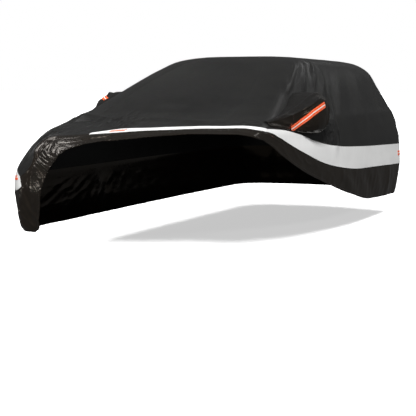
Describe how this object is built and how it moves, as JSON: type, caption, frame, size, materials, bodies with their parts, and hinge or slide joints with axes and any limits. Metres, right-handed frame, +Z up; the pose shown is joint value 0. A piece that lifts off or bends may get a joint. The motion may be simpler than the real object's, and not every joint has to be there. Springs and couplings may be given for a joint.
{
  "type": "car cover",
  "caption": "Fitted cloth cover for a hatchback, hollow, matte above and glossy below, with mirror pockets, a reflective side band and its front hem pulled up.",
  "frame": {"origin": "under the highest point of the cover's top, on the cloth's inner face, where the vehicle's roof carries it", "axes": "+Z up, -Y to the cover's front, +X to the left side of the vehicle that it fits"},
  "size_m": [2.0294, 4.3309, 1.312],
  "materials": {
    "upper_cloth": "matte black coated polyester",
    "skirt_film": "glossy black film on cloth, creased",
    "reflective_band": "silver reflective film",
    "orange_webbing": "orange woven webbing with a silver stripe"
  },
  "bodies": {
    "root": {"body": "upper_cloth", "skirt": "skirt_film", "band_left": "reflective_band", "band_right": "reflective_band", "mirror_pocket_left": "skirt_film", "mirror_pocket_right": "skirt_film", "pocket_strip_left": "orange_webbing", "pocket_strip_right": "orange_webbing", "tab_front_left": "orange_webbing", "tab_front_right": "orange_webbing", "tab_rear_left": "orange_webbing", "tab_rear_right": "orange_webbing"}
  },
  "joints": []
}
